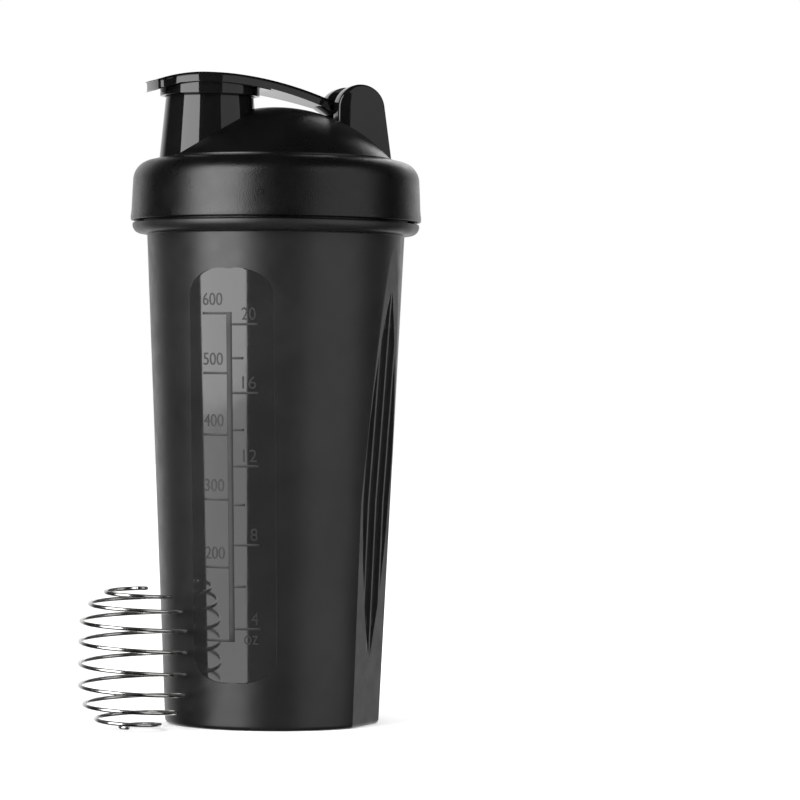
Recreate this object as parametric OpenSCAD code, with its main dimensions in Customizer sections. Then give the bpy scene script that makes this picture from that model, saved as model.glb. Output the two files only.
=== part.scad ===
// Protein shaker bottle: tapered cup with two grip facets, screw lid with an off-centre
// drinking spout, hinged flip cap, silicone seals and a loose wire whisk ball.
// Origin: centre of the cup's base. +Z is up, the spout points to -X, and the flip cap's
// hinge axis is parallel to Y.

/* [Cup] */
// Outer radius of the cup at its base
base_r = 36; // [34.6:0.1:37]
// Outer radius of the cup just under the flange
wall_top_r = 43.4; // [42.8:0.1:43.6]
// Height of the underside of the flange
flange_z = 164.4; // [162:0.1:166]
// Outer radius of the flange
flange_r = 48.4; // [47.5:0.1:49]
// Height of the flange's top face
flange_top_z = 168.3; // [168:0.1:168.6]
// Height of the rim
rim_z = 184; // [183.6:0.1:184.2]
// Outer radius of the threaded neck
neck_r = 44.6; // [44.4:0.1:44.8]
// Thickness of the side wall
wall_t = 1.9; // [1.6:0.1:2.4]
// Thickness of the floor
floor_t = 2.4; // [2:0.1:4]
// Turn of the measuring window and grips from the spout's direction
cup_turn = 40; // [0:1:90]

/* [Grip facets] */
// Distance from the axis to the facet at the base
facet_base_d = 34; // [33.2:0.1:34.5]
// Distance from the axis to the facet where it bends
facet_mid_d = 37.1; // [36.6:0.1:37.6]
// Height where the facet bends
facet_mid_z = 75; // [60:1:90]
// Height where the facet runs out at the wall
facet_top_z = 160; // [150:1:162]
// Depth of the finger grooves
groove_depth = 1.1; // [0.4:0.1:1.4]
// Spacing of the finger grooves
groove_pitch = 6.5; // [5:0.1:7]
// Width of the rib left between two grooves
rib_w = 1; // [0.6:0.1:2]

/* [Thread] */
// Rise of the thread in one turn
thread_pitch = 6; // [5.6:0.1:6.4]
// Turns of thread on the cup, and in the lid
thread_turns = 1.1; // [0.8:0.05:1.2]
// Outer radius of the cup's thread
thread_r = 46; // [45.6:0.1:46.1]

/* [Lid] */
// Outer radius at the lower edge of the skirt
skirt_r = 49; // [48.8:0.05:50]
// Height of the lower edge of the skirt
skirt_z = 169; // [168.9:0.1:170]
// Outer radius where the skirt meets the shoulder
shoulder_r = 48.3; // [48.1:0.1:48.7]
// Radius of the rounded shoulder
shoulder_round = 7; // [5:0.1:7.2]
// Height of the top of the shoulder
shoulder_z = 189.4; // [189.2:0.1:189.8]
// Inner radius of the skirt
skirt_in_r = 46.5; // [46.4:0.1:46.8]
// Radius of the dome at its base
dome_r = 38.4; // [37:0.1:39]
// Height of the dome's base
dome_z = 190.4; // [190.2:0.1:190.8]
// Height of the top of the dome
dome_top_z = 207.6; // [206:0.1:208]
// Thickness of the dome
dome_t = 2; // [1.6:0.1:2.4]

/* [Spout] */
// Distance of the spout's axis in front of the bottle's axis
spout_x = 23.6; // [22:0.1:24]
// Outer radius of the spout's rim
spout_r = 14.5; // [14.2:0.1:14.7]
// Bore radius of the spout at its rim
spout_bore_r = 12.4; // [12.4:0.1:12.8]
// Height of the spout's rim
spout_z = 213; // [212.5:0.1:213.1]
// Draft of the spout's outer wall, in degrees
spout_draft = 5.5; // [3:0.1:7]

/* [Hinge] */
// Distance of the hinge axis behind the bottle's axis
hinge_x = 26.6; // [26.2:0.1:27.4]
// Height of the hinge axis
hinge_z = 207.3; // [207:0.1:207.6]
// Radius of the round top of each lug
lug_r = 8.3; // [8:0.1:8.5]
// Inner face of each lug, from the plane of symmetry
lug_in = 5.2; // [5:0.1:6]
// Thickness of each lug
lug_t = 6.4; // [4.5:0.1:6.5]
// Radius of the flip cap's hinge barrel
barrel_r = 6.6; // [6:0.1:7]
// Radius of the hinge pin
pin_r = 1.6; // [1.2:0.1:2]

/* [Flip cap] */
// Radius of the arc of the cap's top from its highest point to the hinge, seen from the side
cap_arc_r = 150; // [145:1:160]
// Radius of the arc of the cap's top from its highest point to the thumb tab's edge
tab_arc_r = 40; // [40:1:150]
// Height of the highest point of the cap
cap_top_z = 217.8; // [217.7:0.1:218.2]
// Distance of that highest point in front of the bottle's axis
cap_peak_x = 30; // [29:0.5:32]
// Thickness of the cap's plate
cap_t = 3.3; // [2.8:0.1:3.4]
// Radius of the round part of the plate
cap_r = 17; // [16.8:0.1:18]
// Distance of the thumb tab's edge in front of the bottle's axis
tab_x = 43.5; // [42:0.1:45]
// Width of the thumb tab
tab_w = 18.7; // [14:0.1:22]
// Outer radius of the collar that closes round the spout
collar_r = 16.7; // [16.4:0.1:16.8]
// Height of the lower edge of the collar
collar_z = 210.5; // [210:0.1:211]

/* [Whisk ball] */
// Largest radius of the whisk ball, to the middle of the wire
whisk_r = 17.4; // [15:0.1:18]
// Height from the lowest to the highest turn, to the middle of the wire
whisk_h = 46; // [40:0.5:48]
// Number of turns
whisk_turns = 8.5; // [7:0.5:10]
// Direction of the wire at mid height, in degrees from +X
whisk_phase = 73; // [0:1:360]
// Radius of the wire
wire_r = 0.65; // [0.5:0.05:0.8]
// Position of the whisk ball along X
whisk_x = -53.2; // [-60:0.1:-53]
// Position of the whisk ball along Y
whisk_y = -17.1; // [-20:0.1:-16]

/* [Hidden] */
$fn = 96;
far = 80;                       // beyond every part, in any direction

// Cup
foot_round = 1.5;
floor_round = 6;
neck_in_r = 42;
foot_recess = [12, 30, 1];      // inner radius, outer radius, depth
facet_wall = 2.7;
groove_low_z = 22;
groove_top_z = 147;
groove_half_w = 11.6;
groove_count = 4;
flange_drop = 1.2;              // height of the flange's straight edge
flange_neck = 2;                // from the wall to the middle of the flange's rounding
rim_round = 0.8;

// Thread: a trapezoid ridge on each side, half a pitch apart
ridge_root_w = 3.2;
ridge_crest_w = 1.6;
ridge_sink = 0.3;               // how far a ridge's root is sunk in its wall
cup_thread_z = 173.6;
lid_thread_crest_r = neck_r + 0.35;
thread_stretch = 44;            // degrees of thread from one gap to the next
thread_gap = 8;                 // degrees left out of each stretch

// Lid
shoulder_c = [shoulder_r - shoulder_round, shoulder_z - shoulder_round];
ceiling_z = 186;
dome_h = dome_top_z - dome_z;
dome_arc_r = (dome_r * dome_r + dome_h * dome_h) / (2 * dome_h);
dome_arc_z = dome_top_z - dome_arc_r;
ring_step = 0.6;                // the raised ring at the foot of the dome
lip_r = [40, 41.4];
lip_z = 181;
spout_foot_z = 189;
spout_bore_foot_r = 13.4;
spout_bore_foot_z = 188.5;
spout_lip = 0.8;

// Hinge
lug_back_x = 37.7;              // where the rear flank of a lug ends
lug_foot_z = shoulder_z - 0.8;
pin_clear = 0.05;
pin_half = lug_in + 4;
barrel_half = lug_in - 0.3;
pin_mouth = lug_in + lug_t;

// Flip cap
cap_arc_z = cap_top_z - cap_arc_r;
collar_in_r = 15.2;
seat_r = 11.6;                  // boss under the plate that carries the seal
seat_z = 212.4;
cap_corner = 2.5;
cap_neck = 9.2;                 // length of the narrow stretch between the lugs
tab_root = 15;                  // how far the tab reaches into the round part
recess_depth = 1;               // of the hollow under the plate, between collar and barrel
recess_rim = 1.5;               // width of the rim left on each side of it
recess_gap = 13;                // from the hinge axis to the end of it

// Seals
gasket_r = [41.9, 45.2];
gasket_z = [184.05, 185.95];
seal_r = 12;
seal_z = 209.4;
seal_wall = 2.1;
seal_top_t = 1.2;               // thickness of the seal where it meets the seat

// Outer radius of the plain cup wall at height z
function wall_r(z) = base_r + (wall_top_r - base_r) * z / flange_z;

// Points of an arc, in degrees
function arc(c, r, a0, a1, n = 16) =
    [for (i = [0:n]) let (a = a0 + (a1 - a0) * i / n) c + r * [cos(a), sin(a)]];

// Height of the cap's top face, or of a face lower by the given drop
function cap_face_z(x, drop = 0) =
    cap_arc_z + sqrt(pow(cap_arc_r - drop, 2) - pow(x + cap_peak_x, 2));

// ---- shared shapes ----

// Everything outside one grip facet, moved inward by the given inset
module beyond_facet(inset) {
    rotate([90, 0, 0])
        linear_extrude(2 * far, center = true)
            polygon([
                [facet_base_d - inset, -1],
                [facet_mid_d - inset, facet_mid_z],
                [wall_r(facet_top_z) - inset, facet_top_z],
                [wall_r(facet_top_z) - inset + 3, rim_z],
                [far, rim_z],
                [far, -1]
            ]);
}

// Pointed oval seen along X that bounds the finger grooves
module groove_oval() {
    half_h = (groove_top_z - groove_low_z) / 2;
    oval_r = (half_h * half_h + groove_half_w * groove_half_w) / (2 * groove_half_w);
    translate([0, 0, (groove_top_z + groove_low_z) / 2])
        rotate([0, 90, 0])
            linear_extrude(far)
                intersection() {
                    translate([0, oval_r - groove_half_w]) circle(oval_r, $fn = 360);
                    translate([0, groove_half_w - oval_r]) circle(oval_r, $fn = 360);
                }
}

// The grooves' material, cut from one facet
module finger_grooves() {
    intersection() {
        difference() {
            beyond_facet(groove_depth);
            beyond_facet(-2);
        }
        groove_oval();
        union() {
            for (i = [0:groove_count - 1]) {
                y = (i - (groove_count - 1) / 2) * groove_pitch;
                translate([0, y - (groove_pitch - rib_w) / 2, 0])
                    cube([far, groove_pitch - rib_w, rim_z]);
            }
        }
    }
}

// Interrupted helical ridge: root and crest radii, and the height of its middle at angle 0.
// Each stretch is an arc tilted by the thread's lead angle.
module thread_ridge(root_r, crest_r, z0) {
    n = round(thread_turns * 360 / thread_stretch);
    lead = atan(thread_pitch / (2 * PI * crest_r));
    for (i = [0:n - 1]) {
        mid = (i + 0.5) * thread_stretch;
        rotate([0, 0, mid])
            translate([0, 0, z0 + thread_pitch * mid / 360])
                rotate([lead, 0, 0])
                    rotate([0, 0, (thread_gap - thread_stretch) / 2])
                        rotate_extrude(angle = thread_stretch - thread_gap)
                            polygon([
                                [root_r, -ridge_root_w / 2],
                                [crest_r, -ridge_crest_w / 2],
                                [crest_r, ridge_crest_w / 2],
                                [root_r, ridge_root_w / 2]
                            ]);
    }
}

// ---- cup ----

module cup_outside() {
    rotate_extrude()
        polygon(concat(
            [[0, 0]],
            [[foot_recess[0], 0], [foot_recess[0] + 0.5, foot_recess[2]]],
            [[foot_recess[1] - 0.5, foot_recess[2]], [foot_recess[1], 0]],
            arc([base_r - foot_round, foot_round], foot_round, -90, 0, 6),
            [[wall_top_r, flange_z]],
            arc([wall_top_r + flange_neck, flange_top_z - flange_drop],
                flange_r - wall_top_r - flange_neck, -62, 0, 8),
            [[flange_r, flange_top_z - 0.4], [flange_r - 0.5, flange_top_z]],
            [[neck_r, flange_top_z]],
            arc([neck_r - rim_round, rim_z - rim_round], rim_round, 0, 90, 6),
            [[0, rim_z]]
        ));
}

module cup_hollow() {
    in_r = wall_r(floor_t) - wall_t;
    difference() {
        rotate_extrude()
            polygon(concat(
                [[0, floor_t]],
                arc([in_r - floor_round, floor_t + floor_round], floor_round, -90, 0, 8),
                [[wall_top_r - wall_t, flange_z], [neck_in_r, flange_z + 4]],
                [[neck_in_r, rim_z + 1], [0, rim_z + 1]]
            ));
        for (a = [0, 180])
            rotate([0, 0, a]) beyond_facet(facet_wall);
    }
}

module cup() {
    color([0.05, 0.05, 0.05])
        union() {
            rotate([0, 0, -cup_turn])
                difference() {
                    cup_outside();
                    for (a = [0, 180])
                        rotate([0, 0, a])
                            intersection() {
                                beyond_facet(0);
                                cylinder(h = facet_top_z, r = far);
                            }
                    for (a = [0, 180])
                        rotate([0, 0, a]) finger_grooves();
                    cup_hollow();
                }
            thread_ridge(neck_r - ridge_sink, thread_r, cup_thread_z);
        }
}

// ---- lid ----

module lid_shell() {
    inner_arc_r = dome_arc_r - dome_t;
    inner_foot = acos((ceiling_z - dome_arc_z) / inner_arc_r);
    outer_foot = acos((dome_z - dome_arc_z) / dome_arc_r);
    rotate_extrude()
        polygon(concat(
            [[skirt_in_r, skirt_z], [skirt_r - 0.4, skirt_z], [skirt_r, skirt_z + 0.5]],
            [[skirt_r, skirt_z + 1.4], [skirt_r - 0.25, skirt_z + 3.6]],
            arc(shoulder_c, shoulder_round, 0, 90, 16),
            [[dome_r + ring_step, shoulder_z], [dome_r + ring_step - 0.2, dome_z - 0.2]],
            arc([0, dome_arc_z], dome_arc_r, 90 - outer_foot, 90, 24),
            arc([0, dome_arc_z], inner_arc_r, 90, 90 - inner_foot, 24),
            [[lip_r[0], ceiling_z], [lip_r[0], lip_z], [lip_r[1], lip_z]],
            [[lip_r[1], ceiling_z], [skirt_in_r, ceiling_z]]
        ));
}

module spout_outside() {
    foot_r = spout_r + (spout_z - spout_foot_z) * tan(spout_draft);
    translate([-spout_x, 0, 0])
        rotate_extrude()
            polygon(concat(
                [[0, spout_foot_z], [foot_r, spout_foot_z]],
                arc([spout_r - spout_lip, spout_z - spout_lip], spout_lip, 0, 90, 6),
                [[0, spout_z]]
            ));
}

module spout_bore() {
    translate([-spout_x, 0, spout_bore_foot_z])
        cylinder(h = spout_z - spout_bore_foot_z + 1, r1 = spout_bore_foot_r, r2 = spout_bore_r);
}

// One hinge lug on the +Y side: a round top with a straight front and a leaning back
module lug() {
    reach = [lug_back_x - hinge_x, lug_foot_z - hinge_z];
    // the back starts just inside the round top, so that the two cross and don't only touch
    touch = acos(lug_r / norm(reach)) + atan2(reach[1], reach[0]) + 10;
    translate([hinge_x, lug_in + lug_t, hinge_z])
        rotate([90, 0, 0])
            linear_extrude(lug_t) {
                circle(lug_r);
                polygon([
                    [-lug_r, 0],
                    [0, -lug_r / 2],
                    0.99 * lug_r * [cos(touch), sin(touch)],
                    reach,
                    [-lug_r, reach[1]]
                ]);
            }
}

module screw_lid() {
    color([0.04, 0.04, 0.04])
        difference() {
            union() {
                lid_shell();
                intersection() {
                    union() {
                        spout_outside();
                        lug();
                        mirror([0, 1, 0]) lug();
                    }
                    above_dome();
                }
                thread_ridge(skirt_in_r + ridge_sink, lid_thread_crest_r, cup_thread_z - thread_pitch / 2);
            }
            spout_bore();
            // blind in the -Y lug, open in the +Y lug, where the pin goes in
            translate([hinge_x, -pin_half, hinge_z])
                rotate([-90, 0, 0])
                    cylinder(h = pin_half + pin_mouth + 1, r = pin_r + pin_clear);
            barrel_room();
        }
}

// Space above the middle of the dome's wall, so that the spout and lugs don't reach inside
module above_dome() {
    rotate_extrude()
        polygon(concat(
            arc([0, dome_arc_z], dome_arc_r - dome_t / 2, 90, 45, 12),
            [[dome_r + ring_step, shoulder_z - 0.5], [far, shoulder_z - 0.5], [far, far + shoulder_z]],
            [[0, far + shoulder_z]]
        ));
}

// Room for the barrel of the flip cap where it dips into the dome
module barrel_room() {
    translate([hinge_x, 0, hinge_z])
        rotate([90, 0, 0])
            cylinder(h = 2 * lug_in, r = barrel_r + 0.4, center = true);
}

// ---- flip cap ----

// Outline of the plate from above
module cap_outline() {
    reach = hinge_x + spout_x;
    narrow_x = reach - cap_neck;
    // the flanks touch the round part and run to the barrel
    lean = asin((cap_r - barrel_half) / reach);
    side = cap_r * [sin(lean), cos(lean)];
    translate([-spout_x, 0]) circle(cap_r);
    translate([-spout_x, 0])
        polygon([
            side, [narrow_x, barrel_half], [reach, barrel_half],
            [reach, -barrel_half], [narrow_x, -barrel_half], [side[0], -side[1]]
        ]);
    translate([-tab_x, -tab_w / 2 + cap_corner]) square([tab_root, tab_w - 2 * cap_corner]);
    translate([-tab_x + cap_corner, -tab_w / 2]) square([tab_root - cap_corner, tab_w]);
    for (s = [-1, 1])
        translate([-tab_x + cap_corner, s * (tab_w / 2 - cap_corner)]) circle(cap_corner);
}

// Side view of the plate: a bowed strip that thickens into the hinge barrel
module cap_side() {
    a0 = 90 + asin((tab_x + 1 - cap_peak_x) / tab_arc_r);
    a1 = 90 - asin((hinge_x + cap_peak_x) / cap_arc_r);
    tab_c = [-cap_peak_x, cap_top_z - tab_arc_r];
    polygon(concat(
        arc(tab_c, tab_arc_r, a0, 90, 12),
        arc([-cap_peak_x, cap_arc_z], cap_arc_r, 89.5, a1, 24),
        arc([-cap_peak_x, cap_arc_z], cap_arc_r - cap_t, a1, 89.5, 24),
        arc(tab_c, tab_arc_r - cap_t, 90, a0, 12)
    ));
}

// Shallow hollow under the plate's neck, which leaves a rim along each flank
module cap_recess() {
    reach = hinge_x + spout_x;
    lean = asin((cap_r - barrel_half) / reach);
    start = collar_r + 1;
    end = reach - recess_gap;
    flank = cap_r / cos(lean) - recess_rim;
    intersection() {
        translate([-spout_x, 0])
            linear_extrude(far * 4)
                polygon([
                    [start, flank - start * tan(lean)], [end, flank - end * tan(lean)],
                    [end, end * tan(lean) - flank], [start, start * tan(lean) - flank]
                ]);
        translate([-cap_peak_x, 0, cap_arc_z])
            rotate([90, 0, 0])
                difference() {
                    cylinder(h = far, r = cap_arc_r - cap_t + recess_depth, center = true);
                    cylinder(h = far + 1, r = cap_arc_r - cap_t - 1, center = true);
                }
    }
}

module flip_cap() {
    color([0.03, 0.03, 0.03])
        difference() {
            union() {
                intersection() {
                    rotate([90, 0, 0])
                        linear_extrude(2 * far, center = true) cap_side();
                    linear_extrude(cap_top_z + 1) cap_outline();
                }
                // gusset between the plate and the barrel
                rotate([90, 0, 0])
                    linear_extrude(2 * barrel_half, center = true)
                        polygon([
                            [hinge_x - 10, cap_face_z(hinge_x - 10, 1)],
                            [hinge_x, cap_face_z(hinge_x, 1)],
                            [hinge_x, hinge_z],
                            [hinge_x - barrel_r * cos(20), hinge_z - barrel_r * sin(20)]
                        ]);
                translate([hinge_x, 0, hinge_z])
                    rotate([90, 0, 0])
                        cylinder(h = 2 * barrel_half, r = barrel_r, center = true);
                cap_collar();
            }
            translate([hinge_x, 0, hinge_z])
                rotate([90, 0, 0])
                    cylinder(h = 20, r = pin_r + pin_clear, center = true);
            cap_recess();
        }
}

// Collar and seal seat under the plate
module cap_collar() {
    intersection() {
        translate([-spout_x, 0, collar_z])
            difference() {
                cylinder(h = 10, r = collar_r);
                translate([0, 0, -1])
                    cylinder(h = cap_face_z(-spout_x, cap_t) - collar_z + 0.6, r = collar_in_r);
            }
        rotate([90, 0, 0])
            linear_extrude(2 * far, center = true) cap_under();
    }
    intersection() {
        translate([-spout_x, 0, seat_z])
            cylinder(h = 6, r = seat_r);
        rotate([90, 0, 0])
            linear_extrude(2 * far, center = true) cap_under();
    }
}

// Everything below the middle of the plate, seen from the side
module cap_under() {
    polygon(concat(
        arc([-cap_peak_x, cap_arc_z], cap_arc_r - cap_t / 2, 100, 75, 24),
        [[20, collar_z - 5], [-60, collar_z - 5]]
    ));
}

// ---- seals and pin ----

// Silicone cup that plugs the spout, pressed over the seat
module spout_seal() {
    color([0.12, 0.12, 0.12])
        translate([-spout_x, 0, 0])
            difference() {
                translate([0, 0, seal_z])
                    cylinder(h = seat_z - seal_z, r1 = seal_r - 0.5, r2 = seal_r);
                translate([0, 0, seal_z - 1])
                    cylinder(h = seat_z - seal_z + 1 - seal_top_t, r = seal_r - seal_wall);
            }
}

module lid_gasket() {
    color([0.2, 0.2, 0.2])
        translate([0, 0, gasket_z[0]])
            difference() {
                cylinder(h = gasket_z[1] - gasket_z[0], r = gasket_r[1]);
                translate([0, 0, -1]) cylinder(h = 5, r = gasket_r[0]);
            }
}

module hinge_pin() {
    color([0.7, 0.7, 0.7])
        translate([hinge_x, -pin_half + 0.2, hinge_z])
            rotate([-90, 0, 0])
                cylinder(h = pin_half + pin_mouth - 0.6, r = pin_r);
}

// ---- whisk ball ----

// Middle of the wire at s from -1 (bottom) to 1 (top)
function whisk_point(s) =
    let (
        rise = 1.35 * s - 0.35 * pow(s, 3),
        r = whisk_r * pow(max(0.0001, 1 - pow(abs(rise), 2.7)), 1 / 2.7) + 0.9,
        a = whisk_phase - 180 * whisk_turns * s
    )
    [min(r, whisk_r) * cos(a), min(r, whisk_r) * sin(a), whisk_h / 2 * (1 + rise) + wire_r];

module whisk_ball() {
    sides = 8;
    rings = 170;
    points = [
        for (i = [0:rings])
            let (
                s = -1 + 2 * i / rings,
                p = whisk_point(s),
                q = whisk_point(s + 0.002) - whisk_point(s - 0.002),
                dir = q / norm(q),
                flat = cross(dir, [0, 0, 1]),
                across = flat / norm(flat),
                up = cross(across, dir)
            )
            for (j = [0:sides - 1])
                p + wire_r * (cos(360 * j / sides) * across + sin(360 * j / sides) * up)
    ];
    faces = concat(
        [
            for (i = [0:rings - 1])
                for (j = [0:sides - 1])
                    let (a = sides * i + j, b = sides * i + (j + 1) % sides)
                        for (t = [[a, a + sides, b], [b, a + sides, b + sides]])
                            t
        ],
        [[for (j = [0:sides - 1]) j]],
        [[for (j = [sides - 1:-1:0]) sides * rings + j]]
    );
    color([0.8, 0.8, 0.82])
        translate([whisk_x, whisk_y, 0])
            polyhedron(points, faces, convexity = 10);
}

cup();
screw_lid();
lid_gasket();
flip_cap();
spout_seal();
hinge_pin();
whisk_ball();
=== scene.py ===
import math

import bmesh
import bpy
from mathutils import Matrix, Vector

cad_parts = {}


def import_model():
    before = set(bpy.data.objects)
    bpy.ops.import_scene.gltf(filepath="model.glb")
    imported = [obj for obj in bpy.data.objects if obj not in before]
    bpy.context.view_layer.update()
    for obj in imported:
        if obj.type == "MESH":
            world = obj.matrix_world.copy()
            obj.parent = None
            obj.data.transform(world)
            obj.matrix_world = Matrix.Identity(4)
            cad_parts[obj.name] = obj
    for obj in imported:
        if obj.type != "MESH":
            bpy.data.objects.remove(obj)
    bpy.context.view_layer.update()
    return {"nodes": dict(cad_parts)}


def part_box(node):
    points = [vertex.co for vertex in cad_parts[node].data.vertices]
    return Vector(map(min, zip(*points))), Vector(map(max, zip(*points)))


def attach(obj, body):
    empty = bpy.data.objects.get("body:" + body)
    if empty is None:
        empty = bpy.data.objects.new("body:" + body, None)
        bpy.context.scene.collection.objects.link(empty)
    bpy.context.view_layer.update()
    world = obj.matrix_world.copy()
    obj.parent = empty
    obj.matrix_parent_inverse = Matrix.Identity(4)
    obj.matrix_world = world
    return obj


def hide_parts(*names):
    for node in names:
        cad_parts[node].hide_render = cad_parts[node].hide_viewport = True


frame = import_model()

# Visual model of the shaker bottle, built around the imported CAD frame. Blender's units are
# metres. Shapes below are worked out in millimetres in the CAD's own frame: the origin is the
# centre of the cup's base, +Z is up and the spout points to -X.
MM = 0.001
BELOW_LID = 150                 # heights of scratch solids, well past the lid
ABOVE_LID = 230


def box_mm(node):
    """Lowest and highest corner of a CAD node, in millimetres."""
    low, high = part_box(node)
    return low / MM, high / MM


# ---- driving dimensions, in millimetres ----

cup_high = box_mm("cup")[1]
lid_low, lid_high = box_mm("screw_lid")
cap_low, cap_high = box_mm("flip_cap")
pin_low, pin_high = box_mm("hinge_pin")

# cup
base_r = 36
wall_top_r = 43.4
wall_t = 1.9
floor_t = 2.4
flange_z = 164.4
flange_top_z = 168.3
flange_r = cup_high.x
neck_r = 44.6
neck_in_r = 42
rim_z = cup_high.z
thread_r = 46
thread_pitch = 6
cup_thread_z = 173.6
thread_stretches = 9
thread_step = 44                # degrees from one stretch to the next
thread_gap = 8                  # degrees between them
window_turn = 230               # direction the window faces, degrees from +X

# grip facets
facet_turns = (320, 140)
facet_base_d = 34
facet_mid_d = 37.1
facet_mid_z = 75
facet_top_z = 160
facet_wall = 2.7
groove_low_z = 22
groove_top_z = 147
groove_half_w = 11.6
groove_depth = 1.1
groove_pitch = 6.5
rib_w = 1
groove_edge = 0.45              # width of a groove's rounded side

# lid
skirt_r = 49
skirt_z = lid_low.z
skirt_in_r = 46.5
shoulder_r = 48.3
shoulder_round = 7
shoulder_z = 189.4
ceiling_z = 186
dome_r = 38.4
dome_z = 190.4
dome_top_z = 207.6
dome_t = 2
ring_step = 0.6
bead_r = 0.28                   # fine bead round the top of the shoulder
lip_in_r = 40
lip_r = 41.4
lip_z = 181
dome_h = dome_top_z - dome_z
dome_arc_r = (dome_r ** 2 + dome_h ** 2) / (2 * dome_h)
dome_arc_z = dome_top_z - dome_arc_r

# spout
spout_x = -23.6
spout_r = 14.5
spout_z = 213
spout_foot_z = 189.1
spout_draft = math.radians(5.5)
spout_bore_r = 12.4
spout_bore_foot_r = 13.4

# hinge
hinge_x = (pin_low.x + pin_high.x) / 2
hinge_z = (pin_low.z + pin_high.z) / 2
pin_r = (pin_high.x - pin_low.x) / 2
pin_clear = 0.05
lug_r = lid_high.z - hinge_z
lug_in = 5.2
lug_t = 6.4
lug_round = 1.1
lug_crown = 0.42                # how much the outer face swells
lug_crown_w = 5.6
lug_back_x = 37.7
lug_foot_z = 188.6
barrel_r = 6.6
barrel_half = 4.9

# flip cap
cap_arc_r = 150
cap_peak_x = -30
cap_top_z = cap_high.z
tab_arc_r = 40
cap_t = 3.3
cap_r = 17
cap_crown = 0.35                # how much lower the plate's long edges are
cap_neck = 9.2                  # length of the narrow stretch between the lugs
recess_depth = 0.4
recess_rim = 0.7
recess_gap = 13
tab_x = cap_low.x
tab_half_w = 9.35
collar_r = 16.7
collar_in_r = 15.2
collar_z = 210.5
seat_r = 11.6
seat_z = 212.4

# whisk ball
wire_r = 0.65
whisk_r = 17.4
whisk_h = 46
whisk_turns = 8.5
whisk_phase = math.radians(73)  # direction of the wire at mid height
whisk_centre = Vector((-53.2, -17.1))

# measuring window, in millimetres round the wall and up it
window_half_w = 15.1
window_low_z = 15.6
window_top_z = 152.2
window_corner_w = 12.5
window_corner_h = 9
window_shift = 1.35             # how far its middle is to the right of the scale's bar
window_proud = 0.08
window_sunk = 0.4               # how far its edge reaches into the wall

# the scale on the window, in millimetres to the right of the window's turn and up
bar_left = 0.5
bar_right = 2.4
mark_half_t = 0.4
ml_zs = (29.7, 53.9, 76.2, 97.5, 117.7, 137.3)
ml_left = -8.3
ounce_zs = (33.7, 47.6, 61.3, 74.5, 87.2, 99.1, 111.2, 122.6, 133.7)
ounce_right = 11.2
half_ounce_right = 6.3


# ---- mesh helpers ----

def arc(cx, cy, r, a0, a1, n):
    """Points of an arc, with its angles in degrees."""
    angles = [math.radians(a0 + (a1 - a0) * i / n) for i in range(n + 1)]
    return [(cx + r * math.cos(a), cy + r * math.sin(a)) for a in angles]


def inset(points, d):
    """A closed counterclockwise outline moved inward by d."""
    made = []
    count = len(points)
    for i, (x, y) in enumerate(points):
        before = Vector((x, y)) - Vector(points[i - 1])
        after = Vector(points[(i + 1) % count]) - Vector((x, y))
        n0 = Vector((before.y, -before.x)).normalized()
        n1 = Vector((after.y, -after.x)).normalized()
        middle = (n0 + n1).normalized()
        step = d / max(0.3, middle.dot(n0))
        made.append((x - middle.x * step, y - middle.y * step))
    return made


def add_rings(bm, rings, closed=True, loop=False):
    """Skins rings of points with quads, and returns the rings of vertices."""
    made = [[bm.verts.new(Vector(p) * MM) for p in ring] for ring in rings]
    pairs = list(zip(made, made[1:]))
    if loop:
        pairs.append((made[-1], made[0]))
    for low, high in pairs:
        count = len(low)
        for i in range(count if closed else count - 1):
            j = (i + 1) % count
            bm.faces.new((low[i], low[j], high[j], high[i]))
    return made


def piece(name, bm, body, material, sharp=40):
    """Makes an object of a bmesh, in place on its body."""
    bmesh.ops.remove_doubles(bm, verts=bm.verts, dist=1e-6)
    bmesh.ops.dissolve_degenerate(bm, edges=bm.edges, dist=1e-7)
    bmesh.ops.recalc_face_normals(bm, faces=bm.faces)
    mesh = bpy.data.meshes.new(name)
    bm.to_mesh(mesh)
    bm.free()
    mesh.shade_smooth()
    mesh.set_sharp_from_angle(angle=math.radians(sharp))
    thing = bpy.data.objects.new(name, mesh)
    bpy.context.scene.collection.objects.link(thing)
    if body:
        thing.data.materials.append(material)
        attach(thing, body)
    return thing


def solid(bm):
    """A closed scratch object, for cutting."""
    return piece("scratch", bm, None, None)


def cut(thing, cutter, sharp=40):
    """Takes the cutter's space out of a piece, and removes the cutter."""
    modifier = thing.modifiers.new("cut", "BOOLEAN")
    modifier.operation = "DIFFERENCE"
    modifier.solver = "EXACT"
    modifier.object = cutter
    graph = bpy.context.evaluated_depsgraph_get()
    made = bpy.data.meshes.new_from_object(thing.evaluated_get(graph))
    thing.modifiers.clear()
    thing.data = made
    made.name = thing.name
    made.shade_smooth()
    made.set_sharp_from_angle(angle=math.radians(sharp))
    bpy.data.objects.remove(cutter)


def lathe(profile, turns=256, centre=(0, 0), loop=True):
    """A bmesh of revolution of a profile of (radius, height) about a vertical axis."""
    bm = bmesh.new()
    rings = []
    for r, z in profile:
        angles = [2 * math.pi * i / turns for i in range(turns)]
        rings.append([(centre[0] + r * math.cos(a), centre[1] + r * math.sin(a), z) for a in angles])
    add_rings(bm, rings, loop=loop)
    return bm


def rod(x, z, r, y0, y1, turns=64):
    """A bmesh of a solid cylinder along Y."""
    bm = bmesh.new()
    outline = arc(x, z, r, 0, 360 * (turns - 1) / turns, turns - 1)
    rings = add_rings(bm, [[(p[0], y, p[1]) for p in outline] for y in (y0, y1)])
    bm.faces.new(rings[0])
    bm.faces.new(rings[1])
    return bm


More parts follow.
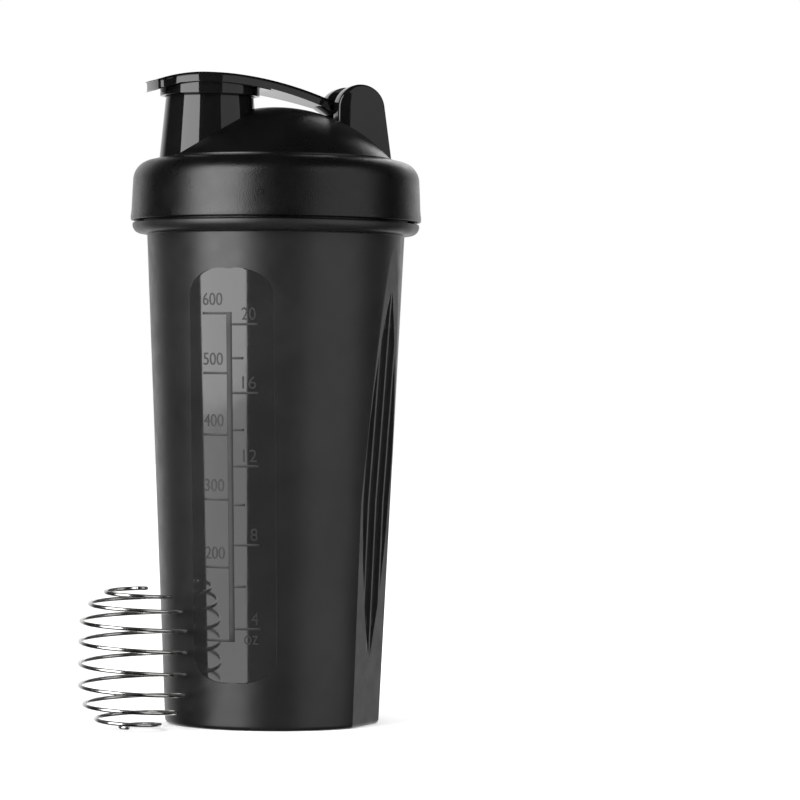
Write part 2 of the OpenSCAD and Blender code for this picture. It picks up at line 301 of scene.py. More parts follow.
def prism(outline, levels):
    """A bmesh of an outline in X and Z, skinned along Y through levels of (y, inset)."""
    bm = bmesh.new()
    rings = [[(x, y, z) for x, z in inset(outline, d)] for y, d in levels]
    made = add_rings(bm, rings)
    bm.faces.new(made[0])
    bm.faces.new(made[-1])
    return bm


def rounded_levels(y0, y1, round0, round1, n=6):
    """Levels for a prism whose end at y0 has its edge rounded by round0, and at y1 by round1."""
    steps = [i * math.pi / 2 / n for i in range(n + 1)]
    first = [(y0 + round0 * (1 - math.sin(a)), round0 * (1 - math.cos(a))) for a in reversed(steps)]
    last = [(y1 - round1 * (1 - math.sin(a)), round1 * (1 - math.cos(a))) for a in steps]
    return first + last


def sheet(half, levels, columns, place, bottom=True):
    """A bmesh of a thin symmetric plate.

    half is the right half of its outline, from its last to its first v, as (u, v). Levels are
    (inset, height), and place(u, v, height) gives a point. Its faces follow place across u.
    """
    bm = bmesh.new()
    outline = half + [(-u, v) for u, v in reversed(half)]
    rings = [[(u, v, h) for u, v in inset(outline, d)] for d, h in levels]
    add_rings(bm, [[place(*p) for p in ring] for ring in rings])
    ends = [rings[-1]]
    if bottom:
        ends.append(rings[0])
    for ring in ends:
        rows = []
        for right, left in zip(ring[:len(half)], reversed(ring[len(half):])):
            shares = [i / columns for i in range(columns + 1)]
            across = [tuple(a + (b - a) * s for a, b in zip(right, left)) for s in shares]
            rows.append([place(*p) for p in across])
        add_rings(bm, rows, closed=False)
    return bm


# ---- materials ----

def shader(name, color, roughness):
    """A new material, and its node tree and Principled shader."""
    material = bpy.data.materials.new(name)
    material.use_nodes = True
    tree = material.node_tree
    surface = tree.nodes["Principled BSDF"]
    surface.inputs["Base Color"].default_value = (*color, 1)
    surface.inputs["Roughness"].default_value = roughness
    surface.inputs["IOR"].default_value = 1.49
    return material, tree, surface


def noise(tree, scale, detail=2.0, stretch=None):
    """A noise texture in the piece's own coordinates, with features per metre."""
    coordinates = tree.nodes.new("ShaderNodeTexCoord")
    texture = tree.nodes.new("ShaderNodeTexNoise")
    texture.inputs["Scale"].default_value = scale
    texture.inputs["Detail"].default_value = detail
    source = coordinates.outputs["Object"]
    if stretch:
        mapping = tree.nodes.new("ShaderNodeMapping")
        mapping.inputs["Scale"].default_value = stretch
        tree.links.new(source, mapping.inputs["Vector"])
        source = mapping.outputs["Vector"]
    tree.links.new(source, texture.inputs["Vector"])
    return texture.outputs["Fac"]


def spread(tree, value, low, high, start=0.35, end=0.65):
    """Maps a noise value to a range."""
    node = tree.nodes.new("ShaderNodeMapRange")
    node.inputs["From Min"].default_value = start
    node.inputs["From Max"].default_value = end
    node.inputs["To Min"].default_value = low
    node.inputs["To Max"].default_value = high
    tree.links.new(value, node.inputs["Value"])
    return node.outputs["Result"]


def tint(tree, value, dark, light):
    """A colour between two colours, by a value from 0 to 1."""
    node = tree.nodes.new("ShaderNodeMix")
    node.data_type = "RGBA"
    node.inputs["A"].default_value = (*dark, 1)
    node.inputs["B"].default_value = (*light, 1)
    tree.links.new(value, node.inputs["Factor"])
    return node.outputs["Result"]


def bump(tree, surface, value, distance, strength=1.0, base=None):
    """Bumps the surface by a value, on top of an earlier bump."""
    node = tree.nodes.new("ShaderNodeBump")
    node.inputs["Strength"].default_value = strength
    node.inputs["Distance"].default_value = distance
    tree.links.new(value, node.inputs["Height"])
    if base:
        tree.links.new(base, node.inputs["Normal"])
    tree.links.new(node.outputs["Normal"], surface.inputs["Normal"])
    return node.outputs["Normal"]


def plastic(name, dark, light, rough_low, rough_high, grain_scale, grain_depth, wave_depth):
    """Moulded plastic: a fine grain, a slow waviness, and uneven colour and gloss."""
    material, tree, surface = shader(name, dark, rough_low)
    cloud = noise(tree, 45, 3)
    tree.links.new(tint(tree, spread(tree, cloud, 0, 1), dark, light), surface.inputs["Base Color"])
    patches = noise(tree, 160, 4)
    tree.links.new(spread(tree, patches, rough_low, rough_high), surface.inputs["Roughness"])
    waves = bump(tree, surface, noise(tree, 90, 1), wave_depth)
    bump(tree, surface, noise(tree, grain_scale, 2), grain_depth, base=waves)
    return material


def scratched(material, depth):
    """Adds fine hairline scratches, as a bump, to a polished plastic."""
    tree = material.node_tree
    surface = tree.nodes["Principled BSDF"]
    before = surface.inputs["Normal"].links[0].from_socket
    hairs = noise(tree, 260, 5, stretch=(1, 1, 0.08))
    bump(tree, surface, spread(tree, hairs, 0, 1, 0.62, 0.7), depth, base=before)
    return material


def set_input(material, name, value):
    """Sets one value of a material's Principled shader."""
    material.node_tree.nodes["Principled BSDF"].inputs[name].default_value = value


cup_plastic = plastic("cup_plastic", (0.008, 0.008, 0.0082), (0.0105, 0.0105, 0.0107),
                      0.33, 0.4, 4200, 0.000012, 0.00005)
lid_plastic = plastic("lid_plastic", (0.001, 0.001, 0.001), (0.002, 0.002, 0.002),
                      0.27, 0.33, 2300, 0.00006, 0.00005)
gloss_plastic = scratched(plastic("gloss_plastic", (0.003, 0.003, 0.003), (0.005, 0.005, 0.005),
                                  0.03, 0.06, 1400, 0.0000012, 0.00003), 0.000001)
window_plastic = scratched(plastic("window_plastic", (0.011, 0.011, 0.0112), (0.014, 0.014, 0.0142),
                                   0.05, 0.09, 1400, 0.0000012, 0.00002), 0.000001)
print_ink = plastic("print_ink", (0.013, 0.013, 0.013), (0.018, 0.018, 0.018),
                    0.38, 0.48, 5200, 0.00001, 0.00001)
set_input(print_ink, "Specular IOR Level", 0.34)
silicone = plastic("silicone", (0.03, 0.03, 0.031), (0.045, 0.045, 0.045),
                   0.55, 0.7, 3000, 0.00002, 0.00005)
set_input(silicone, "Sheen Weight", 0.25)


def drawn_steel():
    """Polished wire: metal with a drawn grain along it and slightly uneven gloss."""
    material, tree, surface = shader("steel", (0.62, 0.61, 0.59), 0.12)
    surface.inputs["Metallic"].default_value = 1.0
    patches = noise(tree, 220, 4)
    tree.links.new(spread(tree, patches, 0.16, 0.26), surface.inputs["Roughness"])
    tone = tint(tree, spread(tree, noise(tree, 500, 3), 0, 1), (0.55, 0.54, 0.52), (0.68, 0.67, 0.65))
    tree.links.new(tone, surface.inputs["Base Color"])
    bump(tree, surface, noise(tree, 2200, 3, stretch=(1, 1, 6)), 0.000008)
    return material


steel = drawn_steel()


# ---- cup ----

def wall_r(z):
    """Outer radius of the plain cup wall."""
    return base_r + (wall_top_r - base_r) * z / flange_z


def facet_d(z):
    """Distance from the axis to a grip facet."""
    if z < facet_mid_z:
        return facet_base_d + (facet_mid_d - facet_base_d) * (z + 1) / (facet_mid_z + 1)
    rise = (z - facet_mid_z) / (facet_top_z - facet_mid_z)
    return facet_mid_d + (wall_r(facet_top_z) - facet_mid_d) * rise


def oval_half_w(z):
    """Half the width of the pointed oval that bounds the finger grooves."""
    half_h = (groove_top_z - groove_low_z) / 2
    oval_r = (half_h ** 2 + groove_half_w ** 2) / (2 * groove_half_w)
    rise = z - (groove_top_z + groove_low_z) / 2
    if abs(rise) >= half_h:
        return 0.0
    return math.sqrt(oval_r ** 2 - rise ** 2) - oval_r + groove_half_w


def groove_cut(y, half_w):
    """How far a groove is sunk at a distance y from the facet's middle."""
    across = abs(y) % groove_pitch
    room = min(across - rib_w / 2, groove_pitch - rib_w / 2 - across, half_w - abs(y))
    share = max(0.0, min(1.0, room / groove_edge))
    return groove_depth * share * share * (3 - 2 * share)


def cup_ring(z, r, d=None, grooved=False):
    """Points round the cup at one height: a circle with two flats at a distance d."""
    d = r if d is None else min(d, r)
    flat = math.sqrt(r * r - d * d)
    oval = min(oval_half_w(z), flat) if grooved else 0.0
    stops = [0.0] + [min(w, oval) for w in
                     (rib_w / 2, groove_pitch - rib_w / 2, groove_pitch + rib_w / 2)] + [oval, flat]
    ys = [0.0]
    for a, b, count in zip(stops, stops[1:], (1, 16, 2, 14, 5)):
        ys += [a + (b - a) * (1 - math.cos(math.pi * i / count)) / 2 for i in range(1, count + 1)]
    ys = [-y for y in reversed(ys[1:])] + ys
    facet = [(d - (groove_cut(y, oval) if grooved else 0.0), y) for y in ys]
    edge = math.asin(flat / r)
    count = 110
    side = [edge + (math.pi - 2 * edge) * i / count for i in range(1, count)]
    half = facet + [(r * math.cos(a), r * math.sin(a)) for a in side]
    turn = Matrix.Rotation(math.radians(facet_turns[0]), 2)
    ring = [turn @ Vector(p) for p in half + [(-x, -y) for x, y in half]]
    return [(p.x, p.y, z) for p in ring]


def cup_shell():
    """The cup: tapered wall with two grooved grip facets, flange, threaded neck and recessed foot."""
    foot = 1.5
    recess = 1
    low_in_r = 12
    low_out_r = 30
    rings = [cup_ring(0, 0.01), cup_ring(0, low_in_r), cup_ring(recess, low_in_r + 0.5)]
    rings += [cup_ring(recess, low_out_r - 0.5), cup_ring(0, low_out_r)]
    for i in range(10):
        a = math.pi / 2 * i / 9
        z = foot * (1 - math.cos(a))
        back = foot * (1 - math.sin(a))
        rings.append(cup_ring(z, wall_r(z) - back, facet_d(z) - back))
    step = 1.2
    zs = [foot + step * i for i in range(1, round((facet_top_z - foot) / step))]
    rings += [cup_ring(z, wall_r(z), facet_d(z), True) for z in zs]
    rings += [cup_ring(z, wall_r(z)) for z in (facet_top_z, facet_top_z + 2, flange_z - 0.4)]
    rings.append(cup_ring(flange_z - 0.1, wall_r(flange_z) + 0.15))
    middle = wall_top_r + 2
    rounding = arc(middle, flange_top_z - 0.7, flange_r - middle, -76, 0, 16)
    rings += [cup_ring(z, r) for r, z in rounding]
    rings += [cup_ring(z, r) for r, z in arc(flange_r - 0.5, flange_top_z - 0.5, 0.5, 10, 90, 6)]
    rings += [cup_ring(flange_top_z, neck_r + 0.3), cup_ring(flange_top_z + 0.3, neck_r)]
    rings += [cup_ring(flange_top_z + 1 + 4 * i, neck_r) for i in range(4)]
    rings += [cup_ring(z, r) for r, z in arc(neck_r - 0.8, rim_z - 0.8, 0.8, 0, 90, 8)]
    rings += [cup_ring(rim_z, neck_in_r + 0.3), cup_ring(rim_z - 0.3, neck_in_r)]
    rings.append(cup_ring(flange_z + 4, neck_in_r))
    for z in range(round(flange_z), 9, -8):
        rings.append(cup_ring(z, wall_r(z) - wall_t, facet_d(z) - facet_wall))
    low_r = wall_r(floor_t) - wall_t
    for r, z in arc(low_r - 6, floor_t + 6, 6, 0, -90, 8):
        rings.append(cup_ring(z, r, facet_d(z) - facet_wall))
    rings.append(cup_ring(floor_t, 0.01))
    bm = bmesh.new()
    add_rings(bm, rings)
    add_thread(bm, neck_r - 0.3, thread_r, cup_thread_z)
    thing = piece("cup_shell", bm, "cup", cup_plastic, sharp=14)
    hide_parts("cup")
    return thing


def on_wall(s, z, height):
    """A point s round the wall from the window's middle, and so far proud of the wall."""
    r = wall_r(z) + height
    a = math.radians(window_turn) + s / wall_r(z)
    return (r * math.cos(a), r * math.sin(a), z)


def measuring_window():
    """The glossy panel, slightly proud of the wall with a softly rounded border."""
    corner = arc(0, 0, 1, 0, 90, 18)
    side = window_half_w - window_corner_w
    low_z = window_low_z + window_corner_h
    high_z = window_top_z - window_corner_h
    count = 90
    half = [(side + window_corner_w * x, low_z - window_corner_h * y) for x, y in reversed(corner)]
    half += [(window_half_w, low_z + (high_z - low_z) * i / count) for i in range(1, count)]
    half += [(side + window_corner_w * x, high_z + window_corner_h * y) for x, y in corner]
    # inset and height of its softly rounded border, from inside the wall to the face
    levels = [(0, -window_sunk), (0, 0.02), (0.12, 0.06), (0.3, window_proud)]

    def place(s, z, height):
        return on_wall(s + window_shift, z, height)

    bm = sheet(half, levels, 40, place, bottom=False)
    return piece("measuring_window", bm, "cup", window_plastic, sharp=55)


def add_mark(bm, s0, s1, z0, z1):
    """A raised rectangular mark on the window."""
    low = window_proud - 0.03
    top = window_proud + 0.09
    rings = []
    for d, height in ((0, low), (0, top - 0.03), (0.06, top)):
        rings.append((s0 + d, s1 - d, z0 + d, z1 - d, height))
    columns = max(1, round((s1 - s0) / 0.8))
    rows = max(1, round((z1 - z0) / 4))
    outlines = []
    for a, b, c, d, height in rings:
        bottom = [(a + (b - a) * i / columns, c) for i in range(columns)]
        right = [(b, c + (d - c) * i / rows) for i in range(rows)]
        upper = [(b - (b - a) * i / columns, d) for i in range(columns)]
        left = [(a, d - (d - c) * i / rows) for i in range(rows)]
        outlines.append([on_wall(s, z, height) for s, z in bottom + right + upper + left])
    add_rings(bm, outlines)
    a, b, c, d, height = rings[-1]
    grid = [[on_wall(a + (b - a) * i / columns, c + (d - c) * j / rows, height)
             for i in range(columns + 1)] for j in range(rows + 1)]
    add_rings(bm, grid, closed=False)


def add_label(bm, text, s0, s1, z0, z1):
    """Raised generic figures on the window, fitted to a box."""
    curve = bpy.data.curves.new("label", "FONT")
    curve.body = text
    curve.extrude = 0.02
    curve.resolution_u = 6
    source = bpy.data.objects.new("label", curve)
    bpy.context.scene.collection.objects.link(source)
    graph = bpy.context.evaluated_depsgraph_get()
    mesh = bpy.data.meshes.new_from_object(source.evaluated_get(graph))
    xs = [v.co.x for v in mesh.vertices]
    ys = [v.co.y for v in mesh.vertices]
    for v in mesh.vertices:
        s = s0 + (s1 - s0) * (v.co.x - min(xs)) / (max(xs) - min(xs))
        z = z0 + (z1 - z0) * (v.co.y - min(ys)) / (max(ys) - min(ys))
        height = window_proud + (0.1 if v.co.z > 0 else -0.03)
        v.co = Vector(on_wall(s, z, height)) * MM
    bm.from_mesh(mesh)
    bpy.data.objects.remove(source)
    bpy.data.meshes.remove(mesh)


def scale_marks():
    """A millilitre scale to the left of the bar, and an ounce scale to its right."""
    bm = bmesh.new()
    add_mark(bm, bar_left, bar_right, ml_zs[0] - mark_half_t, ml_zs[-1] + mark_half_t)
    for i, z in enumerate(ml_zs):
        add_mark(bm, ml_left, bar_left, z - mark_half_t, z + mark_half_t)
        if i > 0:
            add_label(bm, str(100 * (i + 1)), -8.2, -0.9, z + 2.6, z + 6.7)
    for i, z in enumerate(ounce_zs):
        labelled = i % 2 == 0
        right = ounce_right if labelled else half_ounce_right
        add_mark(bm, bar_right, right, z - mark_half_t, z + mark_half_t)
        if labelled:
            text = str(4 + 2 * i)
            left = 5.8 if len(text) > 1 else 8.1
            add_label(bm, text, left, 10.5, z + 1.4, z + 5.5)
    add_label(bm, "oz", 5.6, 10.4, 28.5, 31.6)
    return piece("scale_marks", bm, "cup", print_ink)


# ---- lid ----

def dome_point(angle, r):
    """A point of an arc about the dome's centre, at an angle above the horizontal."""
    return (r * math.cos(angle), dome_arc_z + r * math.sin(angle))


def under_dome():
    """Scratch solid of everything below the middle of the dome's wall."""
    r = dome_arc_r - dome_t / 2
    start = math.asin((ceiling_z + 4 - dome_arc_z) / r)
    angles = [start + (math.pi / 2 - start) * i / 24 for i in range(25)]
    profile = [(0, BELOW_LID), (r * math.cos(start), BELOW_LID)]
    profile += [dome_point(a, r) for a in angles]
    return solid(lathe(profile, 192, loop=False))


def lid_shell():
    """The matt lid: skirt, rounded shoulder, ring and dome, hollow inside."""
    inner_r = dome_arc_r - dome_t
    outer = math.asin((dome_z + 0.05 - dome_arc_z) / dome_arc_r)
    inner = math.asin((ceiling_z - dome_arc_z) / inner_r)
    count = 40
    outside = [outer + (math.pi / 2 - outer) * i / count for i in range(count + 1)]
    inside = [math.pi / 2 - (math.pi / 2 - inner) * i / count for i in range(count + 1)]
    ring_r = dome_r + ring_step
    profile = [(skirt_in_r, skirt_z + 0.3), (skirt_in_r + 0.3, skirt_z)]
    profile += arc(skirt_r - 0.5, skirt_z + 0.5, 0.5, -90, 0, 6)
    profile += [(skirt_r, skirt_z + 1.5), (skirt_r - 0.06, skirt_z + 1.9)]
    profile += [(skirt_r - 0.25, skirt_z + 3.6)]
    band_r = skirt_r - 0.25
    band_z = skirt_z + 3.6
    round_z = shoulder_z - shoulder_round
    profile += [(band_r - (band_r - shoulder_r) * i / 5, band_z + (round_z - band_z) * i / 5)
                for i in range(1, 5)]
    round_r = shoulder_r - shoulder_round
    profile += arc(round_r, round_z, shoulder_round, 0, 90, 28)
    profile += arc(round_r - 0.4, shoulder_z, bead_r, 0, 180, 8)
    profile += [(ring_r + 0.5, shoulder_z), (ring_r + 0.12, shoulder_z + 0.1)]
    profile += [(ring_r, shoulder_z + 0.3)]
    profile += arc(ring_r - 0.12, dome_z - 0.17, 0.12, 0, 80, 4)
    profile += [dome_point(a, dome_arc_r) for a in outside]
    profile += [dome_point(a, inner_r) for a in inside]
    profile += [(lip_in_r, ceiling_z), (lip_in_r, lip_z + 0.5)]
    profile += arc((lip_in_r + lip_r) / 2, lip_z + 0.5, 0.5, 180, 360, 6)
    profile += [(lip_r, lip_z + 0.5), (lip_r, ceiling_z), (skirt_in_r - 0.5, ceiling_z)]
    profile += [(skirt_in_r, ceiling_z - 0.5)]
    bm = lathe(profile, 288)
    add_thread(bm, skirt_in_r + 0.3, neck_r + 0.35, cup_thread_z - thread_pitch / 2)
    shell = piece("lid_shell", bm, "lid", lid_plastic, sharp=35)
    hole = [(0, BELOW_LID), (spout_r, BELOW_LID), (spout_r - 0.6, ABOVE_LID), (0, ABOVE_LID)]
    cutter = lathe(hole, 128, (spout_x, 0), loop=False)
    cut(shell, solid(cutter), 35)
    cut(shell, solid(rod(hinge_x, hinge_z, barrel_r + 0.4, -lug_in, lug_in)), 35)
    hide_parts("screw_lid")
    return shell


def add_thread(bm, root_r, crest_r, z0):
    """A trapezoid ridge that winds up the wall in stretches, each fading into it at its ends."""
    # share of the ridge's depth, and height in millimetres
    lower = ((0, -1.6), (0.5, -1.25), (0.95, -0.9), (1, -0.7))
    section = lower + tuple((depth, -z) for depth, z in reversed(lower))
    count = 24
    for stretch in range(thread_stretches):
        rings = []
        for i in range(count + 1):
            turn = thread_step * stretch + thread_gap / 2 + (thread_step - thread_gap) * i / count
            fade = min(1, 8 * (i + 0.3) / count, 8 * (count - i + 0.3) / count)
            a = math.radians(turn)
            rise = z0 + thread_pitch * turn / 360
            ring = []
            for depth, z in section:
                r = root_r + (crest_r - root_r) * depth * fade
                ring.append((r * math.cos(a), r * math.sin(a), rise + z * fade))
            rings.append(ring)
        made = add_rings(bm, rings)
        bm.faces.new(made[0])
        bm.faces.new(made[-1])


def spout():
    """The glossy drinking spout, with a rounded rim and an open bore."""
    foot_r = spout_r + (spout_z - spout_foot_z) * math.tan(spout_draft)
    lip = 0.8
    bore_lip = 0.5
    top_r = spout_r + 0.04
    top_z = spout_z - lip
    profile = [(foot_r + (top_r - foot_r) * i / 10, spout_foot_z + (top_z - spout_foot_z) * i / 10)
               for i in range(10)]
    profile += arc(spout_r - lip, spout_z - lip, lip, 4, 90, 8)
    profile += arc(spout_bore_r + bore_lip, spout_z - bore_lip, bore_lip, 90, 180, 6)
    profile += [(spout_bore_foot_r, spout_foot_z)]
    thing = piece("drinking_spout", lathe(profile, 192, (spout_x, 0)), "lid",
                  gloss_plastic, sharp=50)
    cut(thing, under_dome(), 50)
    return thing


def lug(name, side):
    """A hinge lug: a round top, a straight front and a leaning back, with its outer edge rounded."""
    back = Vector((lug_back_x - hinge_x, lug_foot_z - hinge_z))
    touch = math.degrees(math.acos(lug_r / back.length) + math.atan2(back.y, back.x))
    outline = arc(hinge_x, hinge_z, lug_r, touch, 180, 48)
    outline += [(hinge_x - lug_r, lug_foot_z), (lug_back_x, lug_foot_z)]
    inner = lug_in
    outer = lug_in + lug_t
    levels = rounded_levels(inner, outer - lug_crown, 0.35, lug_round, 8)
    steps = 6
    levels += [(outer - lug_crown * (1 - i / steps) ** 2, lug_round + lug_crown_w * i / steps)
               for i in range(1, steps + 1)]
    bm = prism(outline, levels)
    if side < 0:
        bmesh.ops.scale(bm, vec=(1, -1, 1), verts=bm.verts)
    thing = piece(name, bm, "lid", gloss_plastic, sharp=50)
    cut(thing, under_dome(), 50)
    # the pin's hole is blind in the near lug and open in the far one
    hole = (pin_low.y - 0.1, 1 - lug_in) if side < 0 else (lug_in - 1, outer + 1)
    cut(thing, solid(rod(hinge_x, hinge_z, pin_r + pin_clear, *hole)), 50)
    return thing


# ---- flip cap ----

def cap_face_z(x, drop=0.0):
    """Height of the plate's bowed top face, or of a face lower by the drop."""
    r = cap_arc_r if x > cap_peak_x else tab_arc_r
    return cap_top_z - r + math.sqrt((r - drop) ** 2 - (x - cap_peak_x) ** 2)


def cap_plate():
    """The bowed plate: a thumb tab, a round middle and a neck that runs to the barrel."""
    reach = hinge_x - spout_x
    lean = math.degrees(math.asin((cap_r - barrel_half) / reach))
    fillet = 3
    gap = tab_half_w + fillet
    fillet_x = spout_x - math.sqrt((cap_r + fillet) ** 2 - gap ** 2)
    meet = math.degrees(math.atan2(gap, fillet_x - spout_x))
    corner = 2.5
    # u is across the plate and v is along it, from the tab to the barrel
    half = [(y, x) for x, y in arc(tab_x + corner, tab_half_w - corner, corner, 178, 90, 8)]
    half += [(y, x) for x, y in arc(fillet_x, gap, fillet, -90, meet - 180, 8)]
    half += [(y, x) for x, y in arc(spout_x, 0, cap_r, meet - 1, 90 - lean, 40)]
    last_u, last_v = half[-1]
    neck_v = hinge_x - cap_neck
    half += [(last_u + (barrel_half - last_u) * i / 24, last_v + (neck_v - last_v) * i / 24)
             for i in range(1, 25)]
    half += [(barrel_half, neck_v + i) for i in range(1, round(cap_neck) - 3)]

    def place(u, v, height):
        return (v, u, cap_face_z(v, -height) - cap_crown * (u / cap_r) ** 2)

    top = [(1.1 * (1 - math.cos(a)), -1.1 * (1 - math.sin(a))) for a in
           (math.pi / 2 * i / 8 for i in range(9))]
    low = [(0.5 * (1 - math.sin(a)), -cap_t + 0.5 * (1 - math.cos(a))) for a in
           (math.pi / 2 * i / 6 for i in range(7))]
    return sheet(list(reversed(half)), low + top, 24, place)


def cap_recess():
    """Scratch solid of the shallow hollow under the plate's neck."""
    reach = hinge_x - spout_x
    lean = math.asin((cap_r - barrel_half) / reach)
    start = collar_r + 1
    end = reach - recess_gap
    flank = cap_r / math.cos(lean) - recess_rim
    count = 16
    steps = [start + (end - start) * i / count for i in range(count + 1)]
    half = [(flank - t * math.tan(lean), spout_x + t) for t in steps]
    # a round inner end
    end_u, end_v = half.pop()
    half += [(end_u * math.cos(a), end_v + end_u * 0.6 * math.sin(a)) for a in
             (math.radians(8 * i) for i in range(11))]

    def place(u, v, height):
        return (v, u, cap_face_z(v, cap_t) + height)

    return solid(sheet(half, [(0, -3), (0, recess_depth)], 2, place))


def flip_cap():
    """The glossy plate of the flip cap, hollow under its neck."""
    thing = piece("flip_cap_top", cap_plate(), "flip", gloss_plastic, sharp=50)
    cut(thing, cap_recess(), 50)
    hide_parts("flip_cap")
    return thing


def barrel():
    """The hinge barrel at the end of the plate's neck, with the gusset under the neck."""
    start = hinge_x - 14
    swell = 12
    a_top = 155
    outline = [(start, cap_face_z(start, cap_t - 0.6))]
    outline += arc(hinge_x, hinge_z, barrel_r, 212, 360 + a_top, 60)
    xs = [hinge_x - 6.4 - (hinge_x - 6.4 - start) * i / swell for i in range(1, swell + 1)]
    outline += [(x, cap_face_z(x, 0.06)) for x in xs]
    bm = prism(outline, rounded_levels(-barrel_half, barrel_half, 0.3, 0.3, 4))
    thing = piece("cap_barrel", bm, "flip", gloss_plastic, sharp=50)
    cut(thing, solid(rod(hinge_x, hinge_z, pin_r + pin_clear, -12, 12)), 50)
    return thing


def collar():
    """The collar that closes round the spout, and the boss that carries the seal."""
    top_z = cap_face_z(spout_x, cap_t) + 0.5
    profile = [(collar_in_r, top_z), (collar_in_r, collar_z + 0.3)]
    profile += [(collar_in_r + 0.2, collar_z), (collar_r - 0.35, collar_z)]
    profile += arc(collar_r - 0.35, collar_z + 0.35, 0.35, -60, 0, 4)
    profile += [(collar_r, (collar_z + top_z) / 2), (collar_r, top_z)]
    bm = lathe(profile, 192, (spout_x, 0))
    boss = [(0, seat_z), (seat_r - 0.3, seat_z), (seat_r, seat_z + 0.3), (seat_r, top_z), (0, top_z)]
    scratch = bpy.data.meshes.new("scratch")
    round_boss = lathe(boss, 128, (spout_x, 0), loop=False)
    round_boss.to_mesh(scratch)
    round_boss.free()
    bm.from_mesh(scratch)
    bpy.data.meshes.remove(scratch)
    return piece("cap_collar", bm, "flip", gloss_plastic, sharp=40)


# ---- whisk ball ----

def whisk_point(s):
    """Middle of the wire at s from -1, the lowest, to 1."""
    s = max(-1, min(1, s))
    rise = 1.35 * s - 0.35 * s ** 3
    shape = max(0.0001, 1 - abs(rise) ** 2.7) ** (1 / 2.7)
    r = min(whisk_r * shape + 0.9, whisk_r)
    a = whisk_phase - math.pi * whisk_turns * s
    return Vector((whisk_centre.x + r * math.cos(a), whisk_centre.y + r * math.sin(a),
                   whisk_h / 2 * (1 + rise) + wire_r))


def whisk():
    """The wire, wound into a ball and rounded off at its two ends."""
    rings = 1100
    sides = 14
    made = []
    for i in range(rings + 1):
        s = -1 + 2 * i / rings
        here = whisk_point(s)
        along = (whisk_point(s + 0.002) - whisk_point(s - 0.002)).normalized()
        across = along.cross(Vector((0, 0, 1))).normalized()
        up = across.cross(along)
        cuts = [(here, wire_r)]
        if i in (0, rings):
            out = -1 if i == 0 else 1
            tips = [(here + along * out * wire_r * math.sin(a), wire_r * math.cos(a))
                    for a in (math.radians(d) for d in (30, 60, 85))]
            cuts = list(reversed(tips)) + cuts if i == 0 else cuts + tips
        for centre, r in cuts:
            angles = [2 * math.pi * j / sides for j in range(sides)]
            made.append([centre + (across * math.cos(a) + up * math.sin(a)) * r for a in angles])
    bm = bmesh.new()
    ends = add_rings(bm, made)
    bm.faces.new(ends[0])
    bm.faces.new(ends[-1])
    thing = piece("whisk_wire", bm, "whisk", steel, sharp=60)
    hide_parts("whisk_ball")
    return thing


cup_shell()
measuring_window()
scale_marks()
lid_shell()
spout()
lug("near_lug", -1)
lug("far_lug", 1)
flip_cap()
barrel()
collar()
whisk()

for node, material in (("lid_gasket", silicone), ("spout_seal", silicone), ("hinge_pin", steel)):
    mesh = frame["nodes"][node].data
    if mesh.materials:
        mesh.materials[0] = material
    else:
        mesh.materials.append(material)


# ---- floor, light and camera ----

camera_azimuth = math.radians(-17)
to_camera = Vector((math.sin(camera_azimuth), -math.cos(camera_azimuth), 0))
to_right = Vector((math.cos(camera_azimuth), math.sin(camera_azimuth), 0))
camera_distance = 1.3
camera_height = 0.1141
aim_height = 0.1092
aim_right = 0.0424
camera_roll = math.radians(0.5)
focal_length = 173.1
softbox_distance = 0.9
softbox_low = -0.4
softbox_high = 1.1
left_split = 0.03               # where the left light's dimmer lower part ends


def floor():
    """A plain white floor that glossy surfaces don't mirror."""
    mesh = bpy.data.meshes.new("floor")
    half = 4
    mesh.from_pydata([(-half, -half, 0), (half, -half, 0), (half, half, 0), (-half, half, 0)], [],
                     [(0, 1, 2, 3)])
    material, _, surface = shader("floor", (0.85, 0.85, 0.85), 0.9)
    surface.inputs["Specular IOR Level"].default_value = 0.0
    surface.inputs["Emission Color"].default_value = (1, 1, 1, 1)
    surface.inputs["Emission Strength"].default_value = 0.2
    mesh.materials.append(material)
    thing = bpy.data.objects.new("floor", mesh)
    bpy.context.scene.collection.objects.link(thing)
    thing.visible_glossy = False


def softbox(name, start, end, radiance, low=softbox_low, high=softbox_high):
    """An upright panel light that spans two angles to the right of the camera's direction."""
    middle = math.radians((start + end) / 2)
    half_w = softbox_distance * math.tan(math.radians(abs(end - start) / 2))
    data = bpy.data.lights.new(name, "AREA")
    data.shape = "RECTANGLE"
    data.size = 2 * half_w
    data.size_y = high - low
    data.energy = radiance * math.pi * data.size * data.size_y
    out = to_camera * math.cos(middle) + to_right * math.sin(middle)
    light = bpy.data.objects.new(name, data)
    light.location = out * softbox_distance + Vector((0, 0, (low + high) / 2))
    light.rotation_euler = out.to_track_quat("Z", "Y").to_euler()
    light.visible_camera = False
    bpy.context.scene.collection.objects.link(light)


def smooth_step(tree, value, start, end, low, high):
    """Maps a value smoothly from one range to another."""
    result = spread(tree, value, low, high, start, end)
    result.node.interpolation_type = "SMOOTHSTEP"
    return result


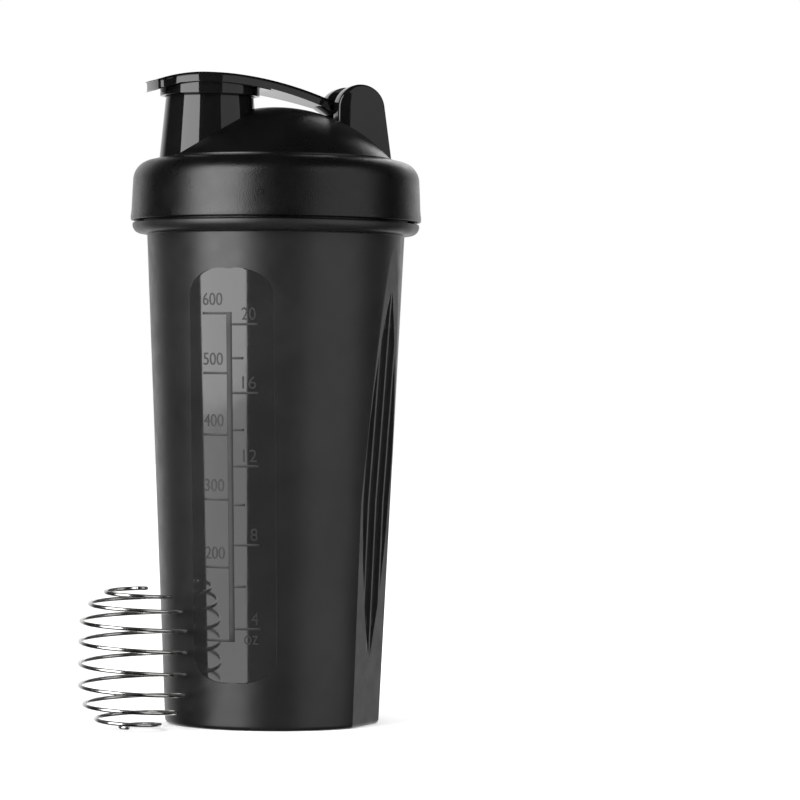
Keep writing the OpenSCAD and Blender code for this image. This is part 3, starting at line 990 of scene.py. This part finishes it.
def world():
    """White to the eye and in soft light; in reflections, dark in front and white behind."""
    made = bpy.data.worlds.new("studio")
    bpy.context.scene.world = made
    made.use_nodes = True
    tree = made.node_tree
    background = tree.nodes["Background"]
    rays = tree.nodes.new("ShaderNodeLightPath")
    coordinates = tree.nodes.new("ShaderNodeTexCoord")
    along = tree.nodes.new("ShaderNodeVectorMath")
    along.operation = "DOT_PRODUCT"
    along.inputs[1].default_value = -to_camera
    tree.links.new(coordinates.outputs["Generated"], along.inputs[0])
    behind = smooth_step(tree, along.outputs["Value"], 0.5, 0.85, 0, 1)
    axes = tree.nodes.new("ShaderNodeSeparateXYZ")
    tree.links.new(coordinates.outputs["Generated"], axes.inputs["Vector"])
    low = smooth_step(tree, axes.outputs["Z"], 0.28, 0.62, 0.98, 0)
    white = tree.nodes.new("ShaderNodeMath")
    white.operation = "MULTIPLY_ADD"
    white.inputs[2].default_value = 0.004
    tree.links.new(behind, white.inputs[0])
    tree.links.new(low, white.inputs[1])
    glossy = tree.nodes.new("ShaderNodeMix")
    glossy.inputs["A"].default_value = 1.15
    tree.links.new(rays.outputs["Is Glossy Ray"], glossy.inputs["Factor"])
    tree.links.new(white.outputs["Value"], glossy.inputs["B"])
    seen = tree.nodes.new("ShaderNodeMix")
    seen.inputs["B"].default_value = 1.0
    tree.links.new(rays.outputs["Is Camera Ray"], seen.inputs["Factor"])
    tree.links.new(glossy.outputs["Result"], seen.inputs["A"])
    tree.links.new(seen.outputs["Result"], background.inputs["Strength"])
    background.inputs["Color"].default_value = (1, 1, 1, 1)


def camera():
    """The camera, turned a little past the bottle and rolled by half a degree."""
    data = bpy.data.cameras.new("camera")
    data.lens = focal_length
    data.sensor_width = 36
    data.clip_end = 20
    thing = bpy.data.objects.new("camera", data)
    place = to_camera * camera_distance + Vector((0, 0, camera_height))
    aim = to_right * aim_right + Vector((0, 0, aim_height))
    look = (aim - place).to_track_quat("-Z", "Y").to_matrix()
    thing.matrix_world = (Matrix.Translation(place)
                          @ (look @ Matrix.Rotation(camera_roll, 3, "Z")).to_4x4())
    bpy.context.scene.collection.objects.link(thing)
    bpy.context.scene.camera = thing


floor()
softbox("left_softbox", -70, -25.5, 5.9, low=left_split)
softbox("left_low_softbox", -70, -25.5, 3.0, high=left_split)
softbox("right_softbox", 28, 83, 0.78)
softbox("back_softbox", 148, 178, 1.3, 0.42, 0.9)
world()
camera()
bpy.context.scene.view_settings.view_transform = "Standard"
